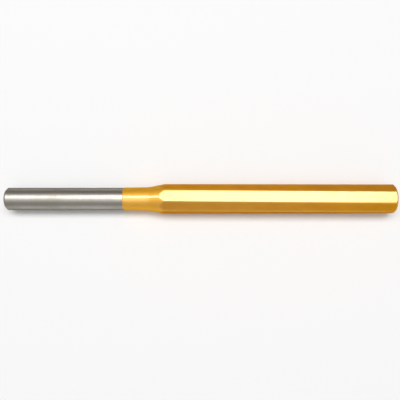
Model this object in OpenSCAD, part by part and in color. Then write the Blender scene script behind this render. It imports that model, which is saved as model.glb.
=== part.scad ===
// Pin punch: one octagonal steel bar, turned down through a flare and a neck to a
// round parallel pin. A lacquer skin covers the shank, flare and neck, and stops
// where the pin is ground bright. The punch lies along X on one of its flats, with
// the tip towards -X, the middle of its length at X = 0 and the bench at Z = 0.

/* [Bar] */
// Overall length, from the working face to the lacquered struck face
overall_l = 165; // [120:5:220]
// Steel octagon, across flats
across_flats = 12; // [11.5:0.5:16]
// How far the bar's rolled corners stop short of sharp ones
corner_round = 0.07; // [0.02:0.01:0.2]
// Chamfer around the struck end
head_chamfer = 0.75; // [0.3:0.05:1.5]

/* [Pin] */
// Ground diameter of the bare pin
pin_d = 9.5; // [4:0.5:10]
// Length of the bare pin, from the working face to the lacquer
pin_l = 50; // [20:1:60]
// Chamfer around the working face
tip_chamfer = 0.8; // [0.2:0.1:1.4]

/* [Neck and flare] */
// Neck between the pin and the flare
neck_l = 8; // [2:1:15]
// How much the neck's radius grows from the pin to the flare
neck_growth = 0.12; // [0.04:0.02:0.3]
// Radius of the hollow that starts the flare
hollow_r = 20; // [5:1:40]
// Slope of the flare to the axis, in degrees
flare_angle = 12; // [8:1:20]

/* [Lacquer] */
// Thickness of the lacquer skin
skin_t = 0.1; // [0.06:0.02:0.3]

/* [Hidden] */
$fn = 96;
SIDES = 8;

flare_start = pin_l + neck_l;
neck_slope = atan(neck_growth / neck_l);
steel_l = overall_l - skin_t;
rest_h = across_flats / 2 + skin_t;

// Centre of the hollow's arc, which leaves the neck in line with it.
hollow_centre_r = pin_d / 2 + neck_growth + hollow_r * cos(neck_slope);
hollow_centre = flare_start - hollow_r * sin(neck_slope);

// A 45 degree chamfer on a skin is longer than the one under it by this share of the skin.
chamfer_growth_share = 2 - sqrt(2);

// Half the octagon's width over its slightly rounded corners.
function corner_r(skin) = across_flats / 2 / cos(180 / SIDES) - corner_round + skin;

// Outline of the turned bar from neck to struck face, as radius and distance from the
// tip. The skin grows every surface of the steel outwards by the same thickness.
module shank_outline(skin) {
    arc_r = hollow_r - skin;
    neck_start_r = pin_d / 2 + skin / cos(neck_slope);
    neck_end_r = hollow_centre_r - arc_r * cos(neck_slope);
    neck_end = hollow_centre + arc_r * sin(neck_slope);
    hollow_end_r = hollow_centre_r - arc_r * cos(flare_angle);
    hollow_end = hollow_centre + arc_r * sin(flare_angle);
    land = corner_r(skin);
    flare_end = hollow_end + (land - hollow_end_r) / tan(flare_angle);
    head = steel_l + skin;
    chamfer = head_chamfer + skin * chamfer_growth_share;
    difference() {
        polygon([
            [0, pin_l],
            [neck_start_r, pin_l],
            [neck_end_r, neck_end],
            [hollow_end_r, neck_end],
            [hollow_end_r, hollow_end],
            [land, flare_end],
            [land, head - chamfer],
            [land - chamfer, head],
            [0, head]
        ]);
        translate([hollow_centre_r, hollow_centre]) circle(r = arc_r);
    }
}

// Turned bar with its flats, standing on the plane where the bare pin ends.
module shank_form(skin) {
    flats = across_flats + 2 * skin;
    intersection() {
        rotate_extrude() shank_outline(skin);
        rotate([0, 0, 180 / SIDES])
            cylinder(d = flats / cos(180 / SIDES), h = overall_l, $fn = SIDES);
    }
}

// Ground pin, standing on its working face.
module pin_form() {
    rotate_extrude()
        polygon([
            [0, 0],
            [pin_d / 2 - tip_chamfer, 0],
            [pin_d / 2, tip_chamfer],
            [pin_d / 2, pin_l],
            [0, pin_l]
        ]);
}

// Lays an upright punch down along X, on one flat.
module laid_down() {
    translate([-overall_l / 2, 0, rest_h]) rotate([0, 90, 0]) children();
}

module steel_punch() {
    color([0.62, 0.61, 0.59])
        laid_down()
            union() {
                pin_form();
                shank_form(0);
            }
}

module gold_lacquer() {
    color([0.85, 0.58, 0.13])
        laid_down()
            difference() {
                shank_form(skin_t);
                shank_form(0);
            }
}

steel_punch();
gold_lacquer();
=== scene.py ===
# %% [markdown]
# # A lacquered pin punch
#
# A pin punch drives pins out of their holes. It is one bar of octagonal tool steel: the
# hand holds the eight flats, a flare leads down to a round neck, and the last 50 mm are
# ground to a plain bright pin. A gold lacquer covers all but that pin, so that the tool
# doesn't rust and is easy to find on a bench.
#
# The lesson builds two pieces, the steel bar and the skin of lacquer on it. The packed
# model gives their size and place, and everything here is in metres in the same frame:
# X runs along the punch to the struck end, Z is up, and the bench is at Z = 0.

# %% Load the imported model
import math

import bmesh
import bpy
from mathutils import Matrix, Vector


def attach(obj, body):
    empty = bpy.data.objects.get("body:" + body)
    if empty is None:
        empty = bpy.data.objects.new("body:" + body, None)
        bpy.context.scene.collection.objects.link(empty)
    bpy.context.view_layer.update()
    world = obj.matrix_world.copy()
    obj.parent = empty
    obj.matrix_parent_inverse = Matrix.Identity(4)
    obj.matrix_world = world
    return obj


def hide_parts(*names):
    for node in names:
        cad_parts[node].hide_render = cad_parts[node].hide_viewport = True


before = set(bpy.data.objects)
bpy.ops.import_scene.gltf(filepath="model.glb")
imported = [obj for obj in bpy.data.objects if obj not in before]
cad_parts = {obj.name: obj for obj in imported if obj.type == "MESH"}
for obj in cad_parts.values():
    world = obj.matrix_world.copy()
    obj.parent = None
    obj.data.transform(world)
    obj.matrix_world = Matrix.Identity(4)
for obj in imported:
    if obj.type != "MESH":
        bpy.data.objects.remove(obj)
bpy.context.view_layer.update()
MM = 0.001

# %% [markdown]
# ## The camera
#
# The photograph was taken from close above the bench. Both ends look slightly bulged,
# which only happens when the camera is near, so the lens and the distance come from how
# strongly they bulge. The camera leans towards the front by a few degrees, because
# that is what puts the top flat a little above the middle of the punch in the picture.
# The matrix is written out, so that the punch stays level in the picture.

# %% Camera
PICTURE_WIDTH_PX = 400
FOCAL_LENGTH_PX = 498
FILM_WIDTH_MM = 36
NEAREST_VIEW = 5 * MM
CAMERA_DISTANCE = 212.6 * MM
CAMERA_ELEVATION = math.radians(79.0)
CAMERA_YAW = math.radians(0.3)
CAMERA_TARGET = Vector((0.05 * MM, -0.45 * MM, 6.1 * MM))

camera_data = bpy.data.cameras.new("photo_camera")
camera_data.sensor_width = FILM_WIDTH_MM
camera_data.lens = FILM_WIDTH_MM * FOCAL_LENGTH_PX / PICTURE_WIDTH_PX
camera_data.clip_start = NEAREST_VIEW
camera = bpy.data.objects.new("photo_camera", camera_data)
bpy.context.scene.collection.objects.link(camera)

backwards = Vector((
    math.sin(CAMERA_YAW),
    -math.cos(CAMERA_YAW) * math.cos(CAMERA_ELEVATION),
    math.cos(CAMERA_YAW) * math.sin(CAMERA_ELEVATION),
))
punch_direction = Vector((1, 0, 0))
right = (punch_direction - backwards * backwards.x).normalized()
up = backwards.cross(right)
turn = Matrix((right, up, backwards)).transposed()
camera.matrix_world = Matrix.Translation(CAMERA_TARGET + backwards * CAMERA_DISTANCE) @ turn.to_4x4()
bpy.context.scene.camera = camera
print("lens", round(camera_data.lens, 1), "mm, camera at", [round(v, 3) for v in camera.location])

# %% [markdown]
# ## Wires that can be added up
#
# Both the shapes and the finishes are node trees. A long sum is hard to read when every
# plus is a node, so a small class wraps one output of a node and lets Python's own signs
# add the Math nodes: `radius + skin` makes an Add node. The reflected forms make
# `1 - mask` work too. Every node comes from one method, which takes the node's type, its
# settings and what goes into its sockets.

# %% Wires and trees
class Wire:
    """One output of a node. Sums on it add Math nodes to its tree."""

    def __init__(self, tree, socket):
        self.tree = tree
        self.socket = socket

    def __add__(self, other):
        return self.tree.math("ADD", self, other)

    def __radd__(self, other):
        return self.tree.math("ADD", other, self)

    def __sub__(self, other):
        return self.tree.math("SUBTRACT", self, other)

    def __rsub__(self, other):
        return self.tree.math("SUBTRACT", other, self)

    def __mul__(self, other):
        return self.tree.math("MULTIPLY", self, other)

    def __rmul__(self, other):
        return self.tree.math("MULTIPLY", other, self)

    def __truediv__(self, other):
        return self.tree.math("DIVIDE", self, other)

    def __rtruediv__(self, other):
        return self.tree.math("DIVIDE", other, self)

    def __pow__(self, other):
        return self.tree.math("POWER", self, other)

    def __neg__(self):
        return self.tree.math("MULTIPLY", self, -1)


class Tree:
    """Adds nodes to one node tree."""

    def __init__(self, node_tree):
        self.node_tree = node_tree

    def feed(self, socket, value):
        """Joins a wire to a socket, or writes a plain value on it."""
        if isinstance(value, Wire):
            self.node_tree.links.new(value.socket, socket)
        else:
            socket.default_value = value

    def node(self, kind, settings=None, sockets=None, output=0):
        """Adds a node of one kind and gives back the wire of one of its outputs, if it has any."""
        node = self.node_tree.nodes.new(kind)
        for name, value in (settings or {}).items():
            setattr(node, name, value)
        for name, value in (sockets or {}).items():
            several = value if isinstance(value, list) else [value]
            for one in several:
                self.feed(node.inputs[name], one)
        return Wire(self, node.outputs[output]) if node.outputs else None

    def math(self, operation, *values):
        """One Math node."""
        return self.node("ShaderNodeMath", {"operation": operation}, dict(enumerate(values)))

    def split(self, vector):
        """The three numbers of a vector."""
        first = self.node("ShaderNodeSeparateXYZ", sockets={0: vector})
        return [Wire(self, output) for output in first.socket.node.outputs]

    def join(self, x, y, z):
        """A vector of three numbers."""
        return self.node("ShaderNodeCombineXYZ", sockets={0: x, 1: y, 2: z})


print("wires and trees are ready")

# %% [markdown]
# ## The sizes
#
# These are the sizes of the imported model, apart from what a real bar adds. Rolled
# octagonal bar often has a slight twist, and the photograph shows one of about nine
# degrees from the flare to the struck end. A twisted octagon is wider from side to side
# than a straight one, so its flats are 0.3 mm closer together here, which keeps the
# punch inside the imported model's box. The neck runs on for 0.8 mm more, because a smooth
# hollow leads it into the flare here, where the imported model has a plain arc. The flare's
# straight line, drawn on towards the pin, is down at the neck's radius 2.1 mm after the
# neck's end, and the hollow smooths the bend between the two. The edges are a little
# rounded.

# %% Sizes
SIZES = {
    "Length": 165 * MM,
    "Across Flats": 11.7 * MM,
    "Corner Rounding": 0.05 * MM,
    "Head Chamfer": 0.75 * MM,
    "Pin Radius": 4.75 * MM,
    "Pin Length": 50 * MM,
    "Tip Chamfer": 0.8 * MM,
    "Neck Length": 8.8 * MM,
    "Neck Growth": 0.12 * MM,
    "Flare Offset": 2.1 * MM,
    "Hollow Softness": 0.42 * MM,
    "Flare Angle": math.radians(12),
    "Skin": 0.1 * MM,
    "Edge Softness": 0.1 * MM,
    "Twist": math.radians(-9.1),
    "Axis Height": 6.1 * MM,
}
SIDES = 8
POINTS_AROUND = 192
print(len(SIZES), "sizes and", POINTS_AROUND, "points around the bar")

# %% [markdown]
# ## One rule for the whole bar
#
# The bar could be a cylinder cut by eight planes, but a cut leaves thin sliver faces and
# knife-sharp edges. Here one rule gives the radius everywhere: the lathe leaves a round
# outline, the bar stock leaves eight flats, and the steel ends at whichever comes first.
# Smooth Minimum takes the smaller of the two and rounds the change between them a
# little, as rolling and lacquer do. The flats then run out in the flare as arcs by
# themselves, which is the mark of a real turned punch.
#
# The rule works on a flat map of the surface. On it, X is the distance from the tip, Y is
# the radius that the lathe leaves, and Z is the share of a full turn.

# %% The outline that the lathe leaves
CHAMFER_GROWTH_SHARE = 2 - math.sqrt(2)


def land_radius(tree, size, skin):
    """Radius over the rounded corners of the octagon."""
    half_width = size["Across Flats"] / 2 / math.cos(math.pi / SIDES)
    return half_width - size["Corner Rounding"] + skin


def head_end(size, skin):
    """Distance from the tip to the struck face, under a skin."""
    return size["Length"] - size["Skin"] + skin


def head_chamfer(size, skin):
    """The chamfer grows with the skin on it, by the share that keeps the skin even."""
    return size["Head Chamfer"] + skin * CHAMFER_GROWTH_SHARE


def turned_radius(tree, size, along, skin):
    """Radius of the turned outline at a distance from the tip."""
    soft = size["Edge Softness"]
    tip = size["Pin Radius"] - size["Tip Chamfer"] + along
    past_pin = tree.math("MAXIMUM", along - size["Pin Length"], 0)
    neck = size["Pin Radius"] + skin + past_pin * size["Neck Growth"] / size["Neck Length"]
    flare_start = size["Pin Length"] + size["Neck Length"] + size["Flare Offset"]
    slope = tree.math("TANGENT", size["Flare Angle"])
    slanted_skin = skin / tree.math("COSINE", size["Flare Angle"])
    flare_foot = size["Pin Radius"] + size["Neck Growth"] + slanted_skin
    flare = flare_foot + slope * (along - flare_start)
    body = tree.math("SMOOTH_MAX", neck, flare, size["Hollow Softness"])
    land = land_radius(tree, size, skin)
    head = land - head_chamfer(size, skin) + head_end(size, skin) - along
    radius = tree.math("SMOOTH_MIN", body, tip, soft)
    radius = tree.math("SMOOTH_MIN", radius, land, soft)
    return tree.math("SMOOTH_MIN", radius, head, soft)


print("the turned outline is a rule of", len(SIZES), "sizes")

# %% [markdown]
# ## Passes of the lathe
#
# The map is made of strips, like passes of a lathe tool. Each strip is a Grid node with
# its own number of rows, so that a plain stretch gets few rows and a rounded edge gets
# many. Most strips are laid out by the distance along the bar. The two end faces stand
# square to the bar, so their strips are laid out by the radius instead.

# %% Strips of the flat map
ROWS = {
    "face": 14,
    "face edge": 18,
    "tip chamfer": 24,
    "pin": 30,
    "bead": 18,
    "neck": 6,
    "neck in the skin": 12,
    "flare": 56,
    "flare in the skin": 64,
    "shank": 56,
    "head chamfer": 28,
}
FLARE_STRIP_LEAD = 1 * MM
FLARE_STRIP_LENGTH = 14 * MM


def strip(tree, size, rows):
    """A strip of the map, as its mesh, the share along it and the share of a turn."""
    grid = tree.node("GeometryNodeMeshGrid", sockets={
        "Size X": 1,
        "Size Y": 1,
        "Vertices X": rows,
        "Vertices Y": size["Points Around"] + 1,
    })
    x, y, _ = tree.split(tree.node("GeometryNodeInputPosition"))
    return grid, x + 0.5, y + 0.5


def flare_ends(size):
    """Where the strip of the flare starts, just inside the neck, and where it ends."""
    start = size["Pin Length"] + size["Neck Length"] - FLARE_STRIP_LEAD
    return start, start + FLARE_STRIP_LENGTH


def place(tree, mesh, x, y, z):
    """Moves every point of a mesh to a new place."""
    sockets = {"Geometry": mesh, "Position": tree.join(x, y, z)}
    return tree.node("GeometryNodeSetPosition", sockets=sockets)


def long_strip(tree, size, start, end, rows, skin):
    """A strip from one distance to another, at the turned radius."""
    mesh, share, share_of_turn = strip(tree, size, rows)
    along = start + share * (end - start)
    return place(tree, mesh, along, turned_radius(tree, size, along, skin), share_of_turn)


def tip_strip(tree, size, start, end, rows):
    """A strip of the working face, from one radius to another."""
    mesh, share, share_of_turn = strip(tree, size, rows)
    radius = start + share * (end - start)
    past_face = radius - size["Pin Radius"] + size["Tip Chamfer"]
    along = tree.math("SMOOTH_MAX", past_face, 0, size["Edge Softness"])
    return place(tree, mesh, along, radius, share_of_turn)


def head_strip(tree, size, start, end, rows, skin):
    """A strip of the struck face, from one radius to another."""
    mesh, share, share_of_turn = strip(tree, size, rows)
    radius = start + share * (end - start)
    past_face = radius - land_radius(tree, size, skin) + head_chamfer(size, skin)
    short = tree.math("SMOOTH_MAX", past_face, 0, size["Edge Softness"])
    return place(tree, mesh, head_end(size, skin) - short, radius, share_of_turn)


print(len(ROWS), "kinds of strip, with", sum(ROWS.values()), "rows between them")

# %% [markdown]
# ## Rolling the map up
#
# The last rule rolls the map up into the bar. The share of a turn becomes an angle, and
# the points bunch up at the eight corners, where the surface bends most. The octagon's
# own radius at that angle meets the turned one, and the twist turns each section a little
# further than the last. The rule also stores two marks for the finishes: how near a point
# is to a corner, where the lacquer is thinner and more worn, and whether the lathe has cut
# the surface there or left it as it was rolled.

# %% Rolling up
CORNER_BUNCHING = 0.75
CORNER_REACH = 0.35 * MM
CUT_SHARPNESS = 2


def store(tree, mesh, name, value):
    """Stores a number at every point of a mesh, for the finish to read."""
    return tree.node("GeometryNodeStoreNamedAttribute", {"data_type": "FLOAT", "domain": "POINT"}, {
        "Geometry": mesh,
        "Name": name,
        "Value": value,
    })


def roll_up(tree, size, flat_map, skin):
    """Rolls the flat map up into the solid's surface."""
    along, turned, share_of_turn = tree.split(tree.node("GeometryNodeInputPosition"))
    octant = share_of_turn * SIDES
    full_turn = 2 * math.pi
    bunched = octant - tree.math("SINE", octant * full_turn) * (CORNER_BUNCHING / full_turn)
    from_flat = (tree.math("FRACT", bunched + 1) - 0.5) * (full_turn / SIDES)
    flats = (size["Across Flats"] / 2 + skin) / tree.math("COSINE", from_flat)
    radius = tree.math("SMOOTH_MIN", turned, flats, size["Edge Softness"])

    depth_of_cut = (flats - turned) / CORNER_REACH
    corner = tree.math("MAXIMUM", 1 - tree.math("ABSOLUTE", depth_of_cut), 0)
    cut_share = depth_of_cut * CUT_SHARPNESS + 0.5
    lathe_cut = tree.math("MINIMUM", tree.math("MAXIMUM", cut_share, 0), 1)
    marked = store(tree, flat_map, "corner", corner)
    marked = store(tree, marked, "lathe_cut", lathe_cut)

    shank_start = size["Pin Length"] + size["Neck Length"]
    shank_middle = (shank_start + size["Length"]) / 2
    twist = size["Twist"] * (along - shank_middle) / (size["Length"] - shank_start)
    angle = bunched * (full_turn / SIDES) + math.pi / SIDES + twist
    y = radius * tree.math("SINE", angle)
    z = radius * tree.math("COSINE", angle) + size["Axis Height"]
    return place(tree, marked, along - size["Length"] / 2, y, z)


print("points bunch up at", SIDES, "corners")

# %% [markdown]
# ## A geometry tree and its object
#
# Each piece gets a tree with the sizes as named inputs. The tree ends in Realize
# Instances and Set Material, so that nothing in it depends on instances. Once the inputs
# are set, the result is copied into a plain mesh, which is what other programs can read.

# %% From a tree to a plain mesh
SEAM_WIDTH = 0.0005 * MM


def new_geometry_tree(name):
    """An empty geometry tree with the sizes as inputs, and its inputs as wires."""
    group = bpy.data.node_groups.new(name, "GeometryNodeTree")
    for label, value in SIZES.items():
        group.interface.new_socket(name=label, in_out="INPUT", socket_type="NodeSocketFloat")
    group.interface.new_socket(name="Points Around", in_out="INPUT", socket_type="NodeSocketInt")
    group.interface.new_socket(name="Finish", in_out="INPUT", socket_type="NodeSocketMaterial")
    group.interface.new_socket(name="Surface", in_out="OUTPUT", socket_type="NodeSocketGeometry")
    tree = Tree(group)
    outputs = tree.node("NodeGroupInput").socket.node.outputs
    return tree, {output.name: Wire(tree, output) for output in outputs if output.name}


def end_tree(tree, inputs, strips):
    """Joins the strips, closes the seams and poles, and hands the surface out."""
    joined = tree.node("GeometryNodeJoinGeometry", sockets={0: strips})
    closed = tree.node("GeometryNodeMergeByDistance", sockets={"Geometry": joined, "Distance": SEAM_WIDTH})
    smooth = tree.node("GeometryNodeSetShadeSmooth", sockets={"Geometry": closed, "Shade Smooth": True})
    real = tree.node("GeometryNodeRealizeInstances", sockets={"Geometry": smooth})
    surface = tree.node("GeometryNodeSetMaterial", sockets={"Geometry": real, "Material": inputs["Finish"]})
    tree.node("NodeGroupOutput", sockets={"Surface": surface})


def build_piece(name, tree, finish):
    """Runs a tree and copies the result into a plain mesh."""
    builder = bpy.data.objects.new(name + "_builder", bpy.data.meshes.new(name + "_builder"))
    bpy.context.scene.collection.objects.link(builder)
    modifier = builder.modifiers.new("shape", "NODES")
    modifier.node_group = tree.node_tree
    values = dict(SIZES)
    values["Points Around"] = POINTS_AROUND
    values["Finish"] = finish
    for socket in tree.node_tree.interface.items_tree:
        if socket.in_out == "INPUT":
            modifier[socket.identifier] = values[socket.name]
    graph = bpy.context.evaluated_depsgraph_get()
    mesh = bpy.data.meshes.new_from_object(builder.evaluated_get(graph))
    bpy.data.objects.remove(builder)
    mesh.name = name
    piece = bpy.data.objects.new(name, mesh)
    bpy.context.scene.collection.objects.link(piece)
    return piece


def measure(piece):
    """Prints a piece's size, and whether its surface is closed and faces outwards."""
    shape = bmesh.new()
    shape.from_mesh(piece.data)
    open_edges = sum(1 for edge in shape.edges if len(edge.link_faces) != 2)
    volume = shape.calc_volume(signed=True) / MM**3
    corners = [vertex.co for vertex in shape.verts]
    low = [min(corner[axis] for corner in corners) / MM for axis in range(3)]
    high = [max(corner[axis] for corner in corners) / MM for axis in range(3)]
    triangles = sum(len(face.verts) - 2 for face in shape.faces)
    shape.free()
    print(piece.name, triangles, "triangles,", open_edges, "open edges,", round(volume, 1), "mm3")
    print("  from", [round(value, 3) for value in low], "to", [round(value, 3) for value in high])


print("seams closer than", SEAM_WIDTH / MM, "mm are closed")

# %% [markdown]
# ## Helpers for the finishes
#
# Both finishes use a few small helpers. The spots of a noise are given by their size
# along X, Y and Z, so one helper makes round clouds, long scuffs and fine lines. A lathe
# or a grinder leaves marks that depend only on the distance along the bar and from its
# axis, so another helper gives the place in that way: lines run around the pin and
# become rings on its end face.

# %% Helpers for the finishes
def new_finish(name):
    """A material with an empty tree, and its wire builder."""
    material = bpy.data.materials.new(name)
    material.use_nodes = True
    material.node_tree.nodes.clear()
    return material, Tree(material.node_tree)


def in_spots(tree, place_wire, spot_size):
    """The place counted in spots instead of metres."""
    per_metre = tuple(1 / width for width in spot_size)
    return tree.node("ShaderNodeVectorMath", {"operation": "MULTIPLY"}, {0: place_wire, 1: per_metre})


def spots(tree, place_wire, spot_size, detail, roughness=0.5):
    """A noise around 0.5, with spots of a given size along each axis."""
    return tree.node("ShaderNodeTexNoise", sockets={
        "Vector": in_spots(tree, place_wire, spot_size),
        "Scale": 1,
        "Detail": detail,
        "Roughness": roughness,
    })


def clear_range(tree, value, low, high):
    """Stretches a value so that low gives 0 and high gives 1, with nothing beyond."""
    return tree.node("ShaderNodeMapRange", sockets={"Value": value, "From Min": low, "From Max": high})


def blend_colours(tree, share, first, second):
    """A mix of two colours, on the sockets that a Mix node keeps for colours."""
    colour_sockets = {0: share, 6: first, 7: second}
    return tree.node("ShaderNodeMix", {"data_type": "RGBA"}, colour_sockets, output=2)


def lathe_place(tree, on_object):
    """The place as distance along the bar, distance from its axis, and a little of both."""
    along, across, height = tree.split(on_object)
    above_axis = height - SIZES["Axis Height"]
    from_axis = tree.math("SQRT", across * across + above_axis * above_axis)
    return tree.join(along, from_axis, across + above_axis)


print("helpers for two finishes")

# %% [markdown]
# ## The ground steel
#
# The pin is ground bright between wheels, which leaves very fine lines around it, a
# tenth of a millimetre apart. Bare steel is a metal with a fairly dark grey body and a
# satin gloss, which the lines and the faint stains of oil and handling make uneven. Both
# edges of the chamfer at the tip are rubbed a little brighter. Real ground steel goes
# darker towards its rim than a perfect metal does, and the shader's tint does that.

# %% Finish of the steel
GROUND_GREY = (0.45, 0.428, 0.38, 1)
STAINED_GREY = (0.33, 0.31, 0.27, 1)
GROOVE_GREY = (0.27, 0.255, 0.22, 1)
RUBBED_GREY = (0.68, 0.67, 0.64, 1)
STEEL_RIM_TINT = (0.05, 0.045, 0.04, 1)
STEEL_ROUGHNESS = 0.36
GROOVES_ROUGHER = 0.12
STAINS_ROUGHER = 0.06
RUBBED_SMOOTHER = 0.08
GROOVE_STRENGTH = 0.5
STAIN_STRENGTH = 0.5
RUB_STRENGTH = 0.7
LEAST_RUB = 0.3
GRINDING_LINES = (0.14 * MM, 0.14 * MM, 11 * MM)
GRINDING_DEPTH = 0.012 * MM
GRINDING_BUMP = 0.8
GROOVE_RANGE = (0.5, 0.7)
STAINS = (11 * MM, 6 * MM, 6 * MM)
STAIN_RANGE = (0.42, 0.66)
NICKS = (0.5 * MM, 0.4 * MM, 0.4 * MM)
NICK_RANGE = (0.4, 0.6)
RUB_REACH = 0.25 * MM

steel_finish, tree = new_finish("ground_steel")
on_object = tree.node("ShaderNodeTexCoord", output="Object")
turned_place = lathe_place(tree, on_object)
lines = spots(tree, turned_place, GRINDING_LINES, detail=4, roughness=0.65)
grooves = clear_range(tree, lines, *GROOVE_RANGE)
stains = clear_range(tree, spots(tree, on_object, STAINS, detail=4, roughness=0.6), *STAIN_RANGE)

along, from_axis, _ = tree.split(turned_place)
chamfer_end = SIZES["Tip Chamfer"] - SIZES["Length"] / 2
face_radius = SIZES["Pin Radius"] - SIZES["Tip Chamfer"]
from_outer_edge = tree.math("ABSOLUTE", along - chamfer_end)
from_inner_edge = tree.math("ABSOLUTE", from_axis - face_radius)
from_edge = tree.math("MINIMUM", from_outer_edge, from_inner_edge)
nicks = clear_range(tree, spots(tree, on_object, NICKS, detail=3, roughness=0.6), *NICK_RANGE)
rubbed = clear_range(tree, from_edge, RUB_REACH, 0) * (nicks * (1 - LEAST_RUB) + LEAST_RUB)

lined_steel = blend_colours(tree, grooves * GROOVE_STRENGTH, GROUND_GREY, GROOVE_GREY)
stained_steel = blend_colours(tree, stains * STAIN_STRENGTH, lined_steel, STAINED_GREY)
smoother = rubbed * RUBBED_SMOOTHER
steel_bump = tree.node("ShaderNodeBump", sockets={
    "Strength": GRINDING_BUMP,
    "Distance": GRINDING_DEPTH,
    "Height": lines - rubbed * nicks,
})
steel_shader = tree.node("ShaderNodeBsdfPrincipled", sockets={
    "Base Color": blend_colours(tree, rubbed * RUB_STRENGTH, stained_steel, RUBBED_GREY),
    "Metallic": 1,
    "Roughness": STEEL_ROUGHNESS + grooves * GROOVES_ROUGHER + stains * STAINS_ROUGHER - smoother,
    "Specular Tint": STEEL_RIM_TINT,
    "Normal": steel_bump,
})
tree.node("ShaderNodeOutputMaterial", sockets={"Surface": steel_shader})
print("finish", steel_finish.name)

# %% [markdown]
# ## The gold lacquer
#
# The lacquer is a metallic paint: fine flakes in a clear gold resin, with the resin's own
# gloss on top. The flakes are a fairly rough gold metal, and the gloss is the shader's
# coat. Each flake lies a little differently, so each has its own gloss and shade. Sprayed
# lacquer is never quite flat, so a low noise gives it an orange-peel bump, and what lies
# under it shows through: rings on what the lathe has cut, and lines along the flats. It
# draws back from sharp corners as it dries, which leaves them paler, and a box of tools
# rubs it: faint scuffs run along the bar, and the corners are rubbed in places. On the
# turned neck the flakes lie over the lathe's rings, which spreads their shine. The gold
# there is also painted lighter, a painted sheen that widens the neck's highlight.
#
# Metallic paint changes with the angle, which painters call its flop. Seen straight on, it
# is pale and glossy. Seen at a slant, the light has come through more of the gold resin,
# so the colour is deep and little gloss is left. Layer Weight tells how far a surface
# turns away from the view, from 0 straight on to 1 edge on, and the gloss goes down as
# that number goes up.

# %% Finish of the lacquer
DEEP_GOLD = (0.76, 0.33, 0.006, 1)
LIGHT_GOLD = (0.84, 0.38, 0.01, 1)
# Painted sheen: a lighter gold on the turned neck that paints in its broad highlight.
NECK_SHEEN_GOLD = (0.97, 0.56, 0.06, 1)
THIN_GOLD = (0.92, 0.56, 0.12, 1)
GOLD_RIM_TINT = (0.03, 0.015, 0, 1)
SHADE_RANGE = (0.42, 0.72)
FLAKE_SHADE = 0.14
# How much of the painted sheen colour the turned neck gets.
NECK_SHEEN_SHARE = 0.75
CORNER_STRENGTH = 0.3
FLAKE_ROUGHNESS = 0.45
TURNED_ROUGHER = 0.1
CLOUDS_ROUGHER = 0.06
SCUFFS_ROUGHER = 0.12
FLAKES_ROUGHER = 0.08
COAT_SHARE = 0.33
COAT_INDEX = 3.0
COAT_ROUGHNESS = 0.12
RUBBED_OFF_SHARE = 0.5
EVEN_BLEND = 0.5
STRAIGHT_ON = 0.06
SLANTED = 0.28
SLANTED_GLOSS = 0.15
CLOUDS = (8 * MM, 4 * MM, 4 * MM)
FLAKES = (0.09 * MM, 0.09 * MM, 0.09 * MM)
PEEL = (1.3 * MM, 1.3 * MM, 1.3 * MM)
LATHE_RINGS = (0.22 * MM, 0.22 * MM, 20 * MM)
DRAWN_LINES = (25 * MM, 0.3 * MM, 0.3 * MM)
RELIEF_DEPTH = 0.04 * MM
RELIEF_BUMP = 0.6
UNDER_MARK_SHARE = 0.3
FLAKE_SHARE = 0.05
SCUFF_SHARE = 0.2
SCUFFS = (6 * MM, 0.4 * MM, 0.4 * MM)
SCUFF_RANGE = (0.64, 0.74)
CORNER_RUBS = (4 * MM, 2 * MM, 2 * MM)
CORNER_RUB_RANGE = (0.45, 0.65)

lacquer_finish, tree = new_finish("gold_lacquer")
on_object = tree.node("ShaderNodeTexCoord", output="Object")
corner = tree.node("ShaderNodeAttribute", {"attribute_name": "corner"}, output="Fac")
lathe_cut = tree.node("ShaderNodeAttribute", {"attribute_name": "lathe_cut"}, output="Fac")
rings = spots(tree, lathe_place(tree, on_object), LATHE_RINGS, detail=2)
drawn = spots(tree, on_object, DRAWN_LINES, detail=3)
under_marks = rings * lathe_cut + drawn * (1 - lathe_cut)
clouds = spots(tree, on_object, CLOUDS, detail=4, roughness=0.55)
peel = spots(tree, on_object, PEEL, detail=2, roughness=0.4)
scuffs = clear_range(tree, spots(tree, on_object, SCUFFS, detail=2), *SCUFF_RANGE)
rub_spots = spots(tree, on_object, CORNER_RUBS, detail=4, roughness=0.6)
corner_rubs = corner * clear_range(tree, rub_spots, *CORNER_RUB_RANGE)
flake_sockets = {"Vector": in_spots(tree, on_object, FLAKES), "Scale": 1}
flake, _, _ = tree.split(tree.node("ShaderNodeTexVoronoi", sockets=flake_sockets, output="Color"))

shade = clear_range(tree, clouds + flake * FLAKE_SHADE, *SHADE_RANGE)
flat_gold = blend_colours(tree, shade, LIGHT_GOLD, DEEP_GOLD)
# The lathe-cut surfaces get the lighter gold, a painted sheen on the neck.
gold = blend_colours(tree, lathe_cut * NECK_SHEEN_SHARE, flat_gold, NECK_SHEEN_GOLD)
thin = (corner + corner_rubs) * CORNER_STRENGTH
turned_away = tree.node("ShaderNodeLayerWeight", sockets={"Blend": EVEN_BLEND}, output="Facing")
straight_on = clear_range(tree, turned_away, SLANTED, STRAIGHT_ON)
gloss = SLANTED_GLOSS + (1 - SLANTED_GLOSS) * straight_on
unrubbed = (1 - scuffs * RUBBED_OFF_SHARE) * (1 - corner_rubs * RUBBED_OFF_SHARE)
base_roughness = FLAKE_ROUGHNESS + lathe_cut * TURNED_ROUGHER + clouds * CLOUDS_ROUGHER
peel_bump = tree.node("ShaderNodeBump", sockets={
    "Strength": RELIEF_BUMP,
    "Distance": RELIEF_DEPTH,
    "Height": peel + under_marks * UNDER_MARK_SHARE + flake * FLAKE_SHARE - scuffs * SCUFF_SHARE,
})
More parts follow.
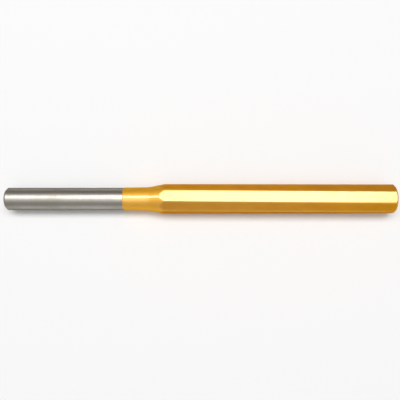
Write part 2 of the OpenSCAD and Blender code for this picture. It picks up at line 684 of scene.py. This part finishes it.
lacquer_shader = tree.node("ShaderNodeBsdfPrincipled", sockets={
    "Base Color": blend_colours(tree, thin, gold, THIN_GOLD),
    "Metallic": 1,
    "Roughness": base_roughness + scuffs * SCUFFS_ROUGHER + flake * FLAKES_ROUGHER,
    "Specular Tint": GOLD_RIM_TINT,
    "Coat Weight": gloss * COAT_SHARE * unrubbed,
    "Coat IOR": COAT_INDEX,
    "Coat Roughness": COAT_ROUGHNESS,
    "Normal": peel_bump,
})
tree.node("ShaderNodeOutputMaterial", sockets={"Surface": lacquer_shader})
print("finish", lacquer_finish.name)

# %% [markdown]
# ## The steel bar
#
# The steel runs the whole length, also under the lacquer. Its strips go from the middle
# of the working face to the middle of the struck face, and meet row on row, so that
# closing the seams leaves one closed surface.

# %% Steel piece
def head_strips(tree, size, start, skin):
    """The last strips of a surface, from a distance along the bar to the head's middle."""
    chamfer = head_chamfer(size, skin)
    end = head_end(size, skin)
    edge = end - chamfer * 2
    halfway = end - chamfer / 2
    rim = land_radius(tree, size, skin) - chamfer / 2
    inside_rim = rim - chamfer
    return [
        long_strip(tree, size, start, edge, ROWS["shank"], skin),
        long_strip(tree, size, edge, halfway, ROWS["head chamfer"], skin),
        head_strip(tree, size, rim, inside_rim, ROWS["face edge"], skin),
        head_strip(tree, size, inside_rim, 0, ROWS["face"], skin),
    ]


tree, size = new_geometry_tree("turned octagonal bar")
tip_rim = size["Pin Radius"] - size["Tip Chamfer"] / 2
inside_tip_rim = tip_rim - size["Tip Chamfer"]
tip_halfway = size["Tip Chamfer"] / 2
tip_edge = size["Tip Chamfer"] * 2
flare_from, flare_to = flare_ends(size)
steel_strips = [
    tip_strip(tree, size, 0, inside_tip_rim, ROWS["face"]),
    tip_strip(tree, size, inside_tip_rim, tip_rim, ROWS["face edge"]),
    long_strip(tree, size, tip_halfway, tip_edge, ROWS["tip chamfer"], 0),
    long_strip(tree, size, tip_edge, size["Pin Length"], ROWS["pin"], 0),
    long_strip(tree, size, size["Pin Length"], flare_from, ROWS["neck"], 0),
    long_strip(tree, size, flare_from, flare_to, ROWS["flare"], 0),
] + head_strips(tree, size, flare_to, 0)
steel_map = tree.node("GeometryNodeJoinGeometry", sockets={0: steel_strips})
end_tree(tree, size, [roll_up(tree, size, steel_map, 0)])
steel = build_piece("steel_bar", tree, steel_finish)
measure(steel)

# %% [markdown]
# ## The skin of lacquer
#
# The lacquer is a closed skin with a wall of its own, 0.1 mm thick. Its outside is the
# bar's rule with the skin's thickness added, and its inside is the same rule without
# it, turned inside out. At the pin the lacquer ends in a small rounded bead, whose line
# wanders by a tenth of a millimetre, because it was drawn by a mask and not by a lathe.

# %% Lacquer piece
BEAD_WIDTH = 0.35 * MM
BEAD_STRIP_WIDTH = BEAD_WIDTH * 1.2
LINE_WANDER = 0.44 * MM
WANDER_REACH = 2.5 * MM
WANDER_SPOTS = (0.45, 0.45, 1)
LINE_SEED = 4.7


def round_off_and_wander(tree, size, flat_map, skin):
    """Rounds the lacquer's end off into a bead, and lets its line wander."""
    along, turned, share_of_turn = tree.split(tree.node("GeometryNodeInputPosition"))
    from_line = along - size["Pin Length"]
    short_of_full = tree.math("MAXIMUM", 1 - from_line / BEAD_WIDTH, 0)
    inside_root = tree.math("MAXIMUM", 1 - short_of_full * short_of_full, 0)
    bead = tree.math("SQRT", inside_root)
    radius = turned - skin * (1 - bead)
    angle = share_of_turn * (2 * math.pi)
    ring = tree.join(tree.math("SINE", angle), tree.math("COSINE", angle), LINE_SEED)
    wander = spots(tree, ring, WANDER_SPOTS, detail=2) - 0.5
    near_line = tree.math("MAXIMUM", 1 - from_line / WANDER_REACH, 0)
    return place(tree, flat_map, along + wander * LINE_WANDER * near_line, radius, share_of_turn)


def skin_strips(tree, size, skin):
    """The strips of one side of the lacquer, from its line at the pin to the head."""
    line = size["Pin Length"]
    bead_end = line + BEAD_STRIP_WIDTH
    flare_from, flare_to = flare_ends(size)
    return [
        long_strip(tree, size, line, bead_end, ROWS["bead"], skin),
        long_strip(tree, size, bead_end, flare_from, ROWS["neck in the skin"], skin),
        long_strip(tree, size, flare_from, flare_to, ROWS["flare in the skin"], skin),
    ] + head_strips(tree, size, flare_to, skin)


def skin_side(tree, size, skin):
    """One side of the lacquer, rolled up."""
    flat_map = tree.node("GeometryNodeJoinGeometry", sockets={0: skin_strips(tree, size, skin)})
    rounded = round_off_and_wander(tree, size, flat_map, skin)
    return roll_up(tree, size, rounded, skin)


tree, size = new_geometry_tree("skin of lacquer")
outside = skin_side(tree, size, size["Skin"])
inside = tree.node("GeometryNodeFlipFaces", sockets={0: skin_side(tree, size, 0)})
end_tree(tree, size, [outside, inside])
lacquer = build_piece("gold_skin", tree, lacquer_finish)
measure(lacquer)

# %% [markdown]
# ## Handing the pieces over
#
# Nothing on a punch moves, so both pieces ride on the one body, and each stands for the
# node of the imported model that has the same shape.

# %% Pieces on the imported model
for piece, node, slot in (
    (steel, "steel_punch", "ground_steel"),
    (lacquer, "gold_lacquer", "gold_lacquer"),
):
    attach(piece, "root")
    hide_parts(node)
print("two pieces ride on the root body")

# %% [markdown]
# ## The bench
#
# The bench is a plain white sheet, large enough for every view. It lies a hair under the
# lowest point of the lacquer, so the two never touch, and it carries the punch's shadow.

# %% Bench
BENCH_WIDTH = 3.0
BENCH_GAP = 0.01 * MM
SHEET_WHITE = (0.84, 0.84, 0.84, 1)

bench_mesh = bpy.data.meshes.new("bench")
half = BENCH_WIDTH / 2
bench_corners = [(-half, -half, 0), (half, -half, 0), (half, half, 0), (-half, half, 0)]
bench_mesh.from_pydata(bench_corners, [], [(0, 1, 2, 3)])
bench = bpy.data.objects.new("bench", bench_mesh)
bpy.context.scene.collection.objects.link(bench)
lowest = min(vertex.co.z for vertex in lacquer.data.vertices)
bench.location.z = min(lowest, 0) - BENCH_GAP
bench_finish, tree = new_finish("white_sheet")
sheet = tree.node("ShaderNodeBsdfDiffuse", sockets={"Color": SHEET_WHITE})
tree.node("ShaderNodeOutputMaterial", sockets={"Surface": sheet})
bench_mesh.materials.append(bench_finish)
print("bench at z =", round(bench.location.z / MM, 3), "mm")

# %% [markdown]
# ## The lamp
#
# One long soft lamp hangs over the punch and leans a little to the back. A round bar
# shows a lamp as a stripe, and a flat shows it only if the flat faces the right way, so
# its place decides which flat is bright. It lies lengthwise and is long, because from a
# camera this near the two ends of the punch mirror points far out to both sides. It hangs
# a little nearer the tip, so that the whole pin mirrors it too.

# %% Lamp
LAMP_LEAN = math.radians(11)
LAMP_DISTANCE = 1.2
LAMP_LENGTH = 1.38
LAMP_WIDTH = 0.42
LAMP_SHIFT = -0.04
LAMP_BRIGHTNESS = 5.8

lamp_data = bpy.data.lights.new("long_soft_lamp", "AREA")
lamp_data.shape = "RECTANGLE"
lamp_data.size = LAMP_LENGTH
lamp_data.size_y = LAMP_WIDTH
lamp_data.energy = LAMP_BRIGHTNESS * math.pi * LAMP_LENGTH * LAMP_WIDTH
lamp = bpy.data.objects.new("long_soft_lamp", lamp_data)
lamp_back = math.sin(LAMP_LEAN) * LAMP_DISTANCE
lamp_height = math.cos(LAMP_LEAN) * LAMP_DISTANCE
lamp.location = (LAMP_SHIFT, lamp_back, lamp_height)
lamp.rotation_euler = (-LAMP_LEAN, 0, 0)
bpy.context.scene.collection.objects.link(lamp)
print("the lamp shines with", round(lamp_data.energy, 2), "W")

# %% [markdown]
# ## The room
#
# Metal is only as bright as what it mirrors, so the room matters as much as the lamp. It
# is dim, with some light from the front for the flat that faces the reader, and a warmer
# wall behind. The ceiling has a bright patch with soft edges, a little in front of the
# lamp. Round parts mirror the lamp as a narrow stripe, and the patch widens that stripe
# towards the front. The room's brightness depends only on the direction.

# %% Room
ROOM_LEVEL = 0.06
CEILING_LEVEL = 2.4
CEILING_FOCUS = 10
FRONT_LEVEL = 0.45
BACK_LEVEL = 0.16
END_LEVEL = 0.2
CEILING_LEAN = math.radians(-6)
PLAIN_WALL = (1, 1, 1, 1)
WARM_WALL = (1.0, 0.86, 0.74, 1)
WARM_WALL_RANGE = (0.5, 0.9)

room = bpy.data.worlds.new("dim_room")
room.use_nodes = True
room.node_tree.nodes.clear()
tree = Tree(room.node_tree)
along, across, height = tree.split(tree.node("ShaderNodeTexCoord", output="Generated"))
towards_patch = height * math.cos(CEILING_LEAN) + across * math.sin(CEILING_LEAN)
ceiling = tree.math("MAXIMUM", towards_patch, 0) ** CEILING_FOCUS * CEILING_LEVEL
front = tree.math("MAXIMUM", -across, 0) * FRONT_LEVEL
back = tree.math("MAXIMUM", across, 0) * BACK_LEVEL
beside = 1 - along * along
level = ROOM_LEVEL + beside * beside * (ceiling + front + back) + (1 - beside) * END_LEVEL
tint = blend_colours(tree, clear_range(tree, across, *WARM_WALL_RANGE), PLAIN_WALL, WARM_WALL)
sky = tree.node("ShaderNodeBackground", sockets={"Color": tint, "Strength": level})
tree.node("ShaderNodeOutputWorld", sockets={"Surface": sky})
bpy.context.scene.world = room
bpy.context.scene.view_settings.view_transform = "Standard"
print("the room's plain level is", ROOM_LEVEL)
